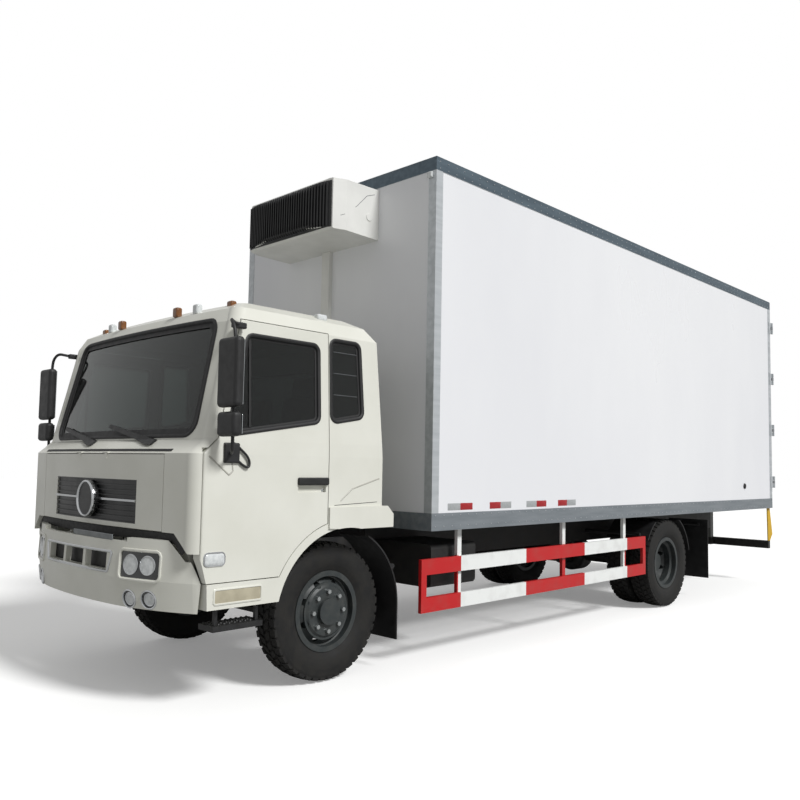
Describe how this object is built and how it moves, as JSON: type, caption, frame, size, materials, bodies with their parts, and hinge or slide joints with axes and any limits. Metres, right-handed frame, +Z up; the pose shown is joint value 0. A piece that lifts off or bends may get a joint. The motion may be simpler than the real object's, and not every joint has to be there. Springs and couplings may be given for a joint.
{
  "type": "refrigerated truck",
  "caption": "Forward-control refrigerated truck: tilting cab, ladder frame, insulated box with cooling unit, opening cab and rear doors, steered front wheels.",
  "frame": {"origin": "on the ground, midway along and across the truck", "axes": "+Z up, the truck faces -Y, its left side is +X"},
  "size_m": [2.87, 9.54, 3.969],
  "materials": {
    "chassis_paint": "satin black paint",
    "spring_steel": "dark spring steel",
    "cast_steel": "dark cast metal",
    "tyre_rubber": "matt black rubber",
    "wheel_paint": "dark grey paint",
    "rail_metal": "brushed metal",
    "box_panel": "white glass-fibre skin on foam",
    "floor_metal": "ribbed aluminium on foam",
    "bright_steel": "stainless steel",
    "unit_plastic": "off-white moulded housing",
    "black_plastic": "black moulded plastic",
    "guard_paint": "red and white paint",
    "tank_metal": "dull metal",
    "bar_paint": "black paint with yellow corner plates",
    "lamp_red": "red and amber lenses",
    "lamp_clear": "clear lenses",
    "cab_paint": "ivory white paint",
    "grey_plastic": "grey moulded plastic",
    "seat_fabric": "grey cloth",
    "window_glass": "clear glass"
  },
  "bodies": {
    "chassis": {"frame_rails": "chassis_paint", "leaf_springs": "spring_steel", "front_axle_beam": "chassis_paint", "rear_axle": "chassis_paint", "propshaft": "chassis_paint", "engine_gearbox": "cast_steel", "box_corner_rails": "rail_metal", "box_wall_left": "box_panel", "box_wall_right": "box_panel", "box_wall_front": "box_panel", "box_roof": "box_panel", "box_floor": "floor_metal", "floor_bearers": "chassis_paint", "cooling_unit": "unit_plastic", "cooling_grille": "black_plastic", "side_guards": "guard_paint", "fuel_tank": "tank_metal", "battery_box": "chassis_paint", "mudguards": "black_plastic", "rear_bar": "bar_paint", "tail_lamps": "lamp_red", "front_bumper": "cab_paint", "front_lamps": "lamp_clear"},
    "cab": {"cab_shell": "cab_paint", "cab_steps": "black_plastic", "dashboard": "grey_plastic", "seats": "seat_fabric", "windscreen": "window_glass", "cab_windows": "window_glass", "wipers": "black_plastic"},
    "front_lid": {"front_panel": "cab_paint", "front_grille": "black_plastic"},
    "cab_door_left_body": {"cab_door_left": "cab_paint", "door_window_left": "window_glass", "mirror_left": "black_plastic"},
    "cab_door_right_body": {"cab_door_right": "cab_paint", "door_window_right": "window_glass", "mirror_right": "black_plastic"},
    "steering_left": {"knuckle_left": "cast_steel"},
    "steering_right": {"knuckle_right": "cast_steel"},
    "track_rod": {"tie_rod": "cast_steel"},
    "wheel_front_left": {"tyre_front_left": "tyre_rubber", "rim_front_left": "wheel_paint"},
    "wheel_front_right": {"tyre_front_right": "tyre_rubber", "rim_front_right": "wheel_paint"},
    "wheel_rear_left": {"tyre_rear_left": "tyre_rubber", "rim_rear_left": "wheel_paint"},
    "wheel_rear_right": {"tyre_rear_right": "tyre_rubber", "rim_rear_right": "wheel_paint"},
    "rear_leaf_left": {"rear_door_left": "box_panel", "door_gear_left": "bright_steel"},
    "rear_leaf_right": {"rear_door_right": "box_panel", "door_gear_right": "bright_steel"}
  },
  "joints": [
    {"name": "cab_tilt", "type": "hinge", "parent": "chassis", "child": "cab", "pos_m": [0, -4.675, 0.98], "axis": [1, 0, 0], "range_deg": [0, 45]},
    {"name": "front_lid_hinge", "type": "hinge", "parent": "cab", "child": "front_lid", "pos_m": [0, -4.67, 1.578], "axis": [-1, 0, 0], "range_deg": [0, 70]},
    {"name": "cab_door_left_hinge", "type": "hinge", "parent": "cab", "child": "cab_door_left_body", "pos_m": [1.1748, -4.519, 1.4], "axis": [0, 0, -1], "range_deg": [0, 70]},
    {"name": "cab_door_right_hinge", "type": "hinge", "parent": "cab", "child": "cab_door_right_body", "pos_m": [-1.1748, -4.519, 1.4], "axis": [0, 0, 1], "range_deg": [0, 70]},
    {"name": "steer_left", "type": "hinge", "parent": "chassis", "child": "steering_left", "pos_m": [0.8, -3.37, 0.487], "axis": [0, 0, 1], "range_deg": [-35, 35]},
    {"name": "steer_right", "type": "hinge", "parent": "chassis", "child": "steering_right", "pos_m": [-0.8, -3.37, 0.487], "axis": [0, 0, 1], "range_deg": [-35, 35]},
    {"name": "track_rod_end", "type": "hinge", "parent": "steering_left", "child": "track_rod", "pos_m": [0.705, -3.175, 0.386], "axis": [0, 0, 1], "range_deg": [-35, 35]},
    {"name": "roll_front_left", "type": "hinge", "parent": "steering_left", "child": "wheel_front_left", "pos_m": [0.9, -3.37, 0.487], "axis": [1, 0, 0], "continuous": true},
    {"name": "roll_front_right", "type": "hinge", "parent": "steering_right", "child": "wheel_front_right", "pos_m": [-0.9, -3.37, 0.487], "axis": [1, 0, 0], "continuous": true},
    {"name": "roll_rear_left", "type": "hinge", "parent": "chassis", "child": "wheel_rear_left", "pos_m": [0.952, 1.5, 0.487], "axis": [1, 0, 0], "continuous": true},
    {"name": "roll_rear_right", "type": "hinge", "parent": "chassis", "child": "wheel_rear_right", "pos_m": [-0.952, 1.5, 0.487], "axis": [1, 0, 0], "continuous": true},
    {"name": "rear_door_left_hinge", "type": "hinge", "parent": "chassis", "child": "rear_leaf_left", "pos_m": [1.262, 4.72, 2.5], "axis": [0, 0, -1], "range_deg": [0, 270]},
    {"name": "rear_door_right_hinge", "type": "hinge", "parent": "chassis", "child": "rear_leaf_right", "pos_m": [-1.262, 4.72, 2.5], "axis": [0, 0, 1], "range_deg": [0, 270]}
  ],
  "couplings": [
    {"joint": "steer_right", "follows": "steer_left", "ratio": 1},
    {"joint": "track_rod_end", "follows": "steer_left", "ratio": -1}
  ]
}
